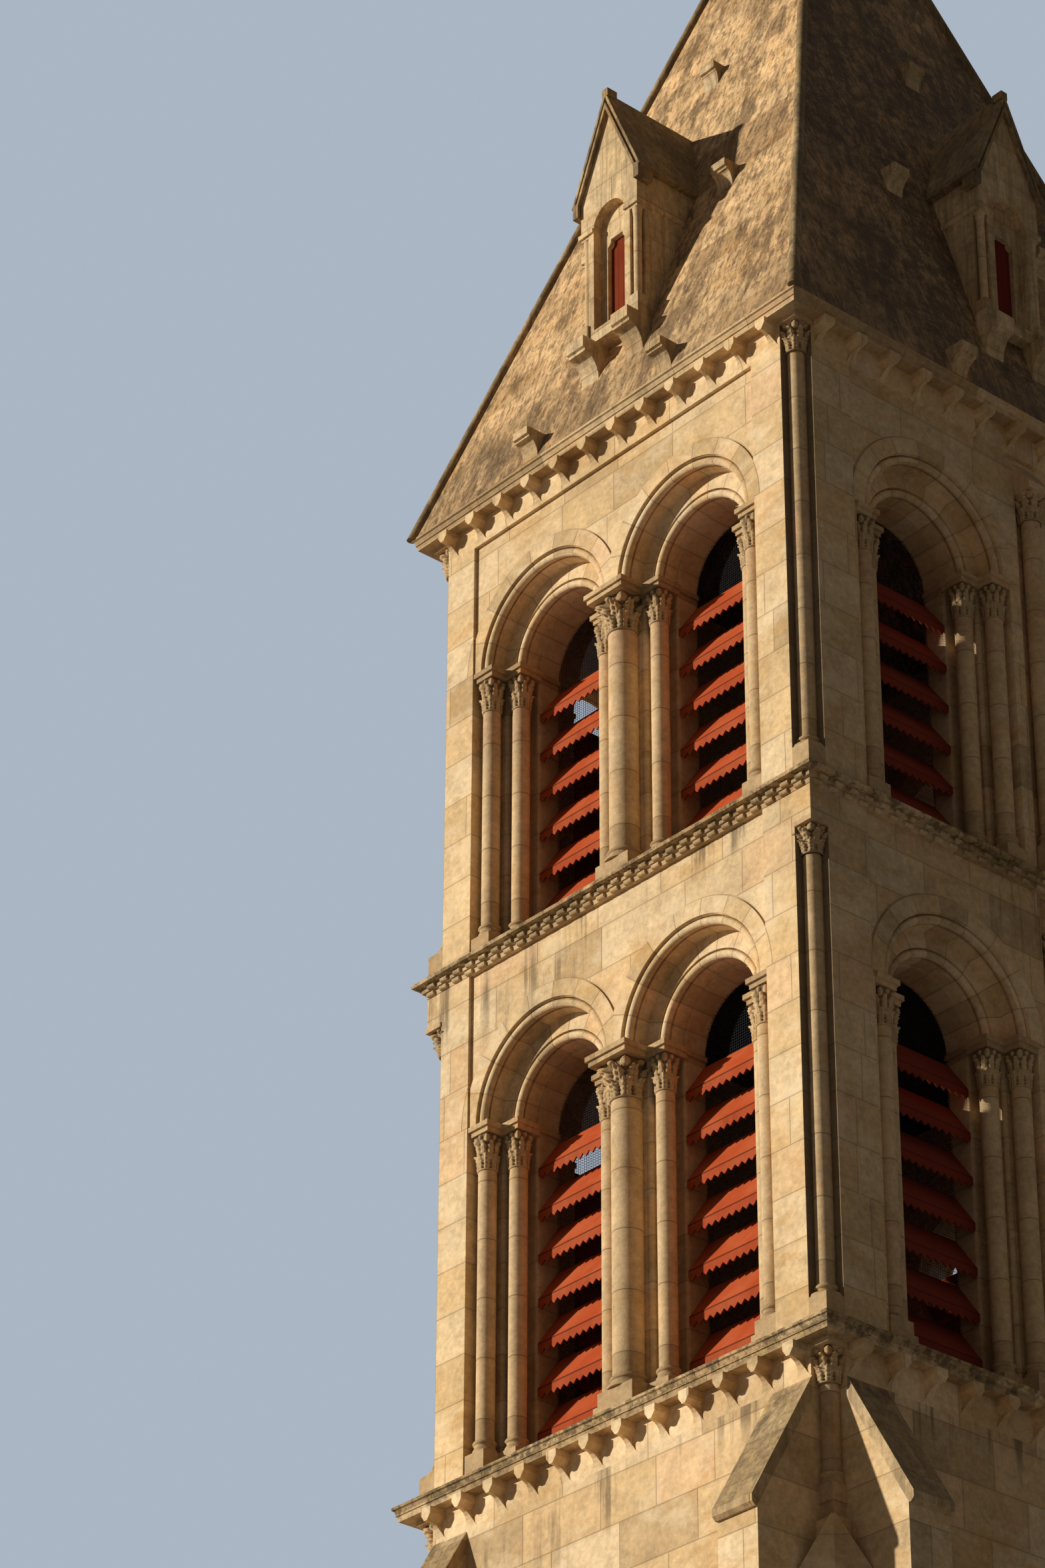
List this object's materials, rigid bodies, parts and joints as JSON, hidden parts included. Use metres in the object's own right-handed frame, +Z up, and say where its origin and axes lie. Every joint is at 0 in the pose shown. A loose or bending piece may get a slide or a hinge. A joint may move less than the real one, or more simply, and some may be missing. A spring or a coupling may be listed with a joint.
{
  "type": "bell tower",
  "caption": "Stone bell tower with buttressed shaft, two belfry stages of twin arched louvred openings, and a pyramidal stone spire with gabled dormers.",
  "frame": {"origin": "centre of the footprint, at ground level", "axes": "+Z up; the front, a narrow face, looks along -Y; the wide faces look along +X and -X"},
  "size_m": [6.44, 7.32, 36.25],
  "materials": {
    "stone": "matte ashlar limestone",
    "weathered_stone": "matte limestone with lichen",
    "spire_stone": "matte weathered limestone slabs",
    "louvre_paint": "semi-matte weathered paint",
    "shutter_paint": "matte paint"
  },
  "bodies": {
    "root": {"plinth": "stone", "shaft_front_wall": "stone", "shaft_back_wall": "stone", "shaft_left_wall": "stone", "shaft_right_wall": "stone", "buttresses": "stone", "buttress_weatherings": "weathered_stone", "corner_piers": "stone", "base_corner_shafts": "stone", "lower_corbel_table": "stone", "lower_cornice": "weathered_stone", "lower_front_wall": "stone", "lower_back_wall": "stone", "lower_left_wall": "stone", "lower_right_wall": "stone", "lower_corner_shafts": "stone", "lower_jamb_shafts": "stone", "lower_centre_columns": "stone", "lower_capitals": "weathered_stone", "lower_imposts": "weathered_stone", "lower_arch_rolls": "stone", "lower_louvres": "louvre_paint", "billet_string": "weathered_stone", "upper_front_wall": "stone", "upper_back_wall": "stone", "upper_left_wall": "stone", "upper_right_wall": "stone", "upper_corner_shafts": "stone", "upper_jamb_shafts": "stone", "upper_centre_columns": "stone", "upper_capitals": "weathered_stone", "upper_imposts": "weathered_stone", "upper_arch_rolls": "stone", "upper_louvres": "louvre_paint", "belfry_floors": "stone", "upper_corbel_table": "stone", "upper_cornice": "weathered_stone", "spire_shell": "spire_stone", "spire_hip_rolls": "weathered_stone", "spire_brackets": "weathered_stone", "dormer_fronts": "stone", "dormer_colonnettes": "stone", "dormer_roofs": "weathered_stone", "dormer_shutters": "shutter_paint", "spire_cap": "weathered_stone"}
  },
  "joints": []
}
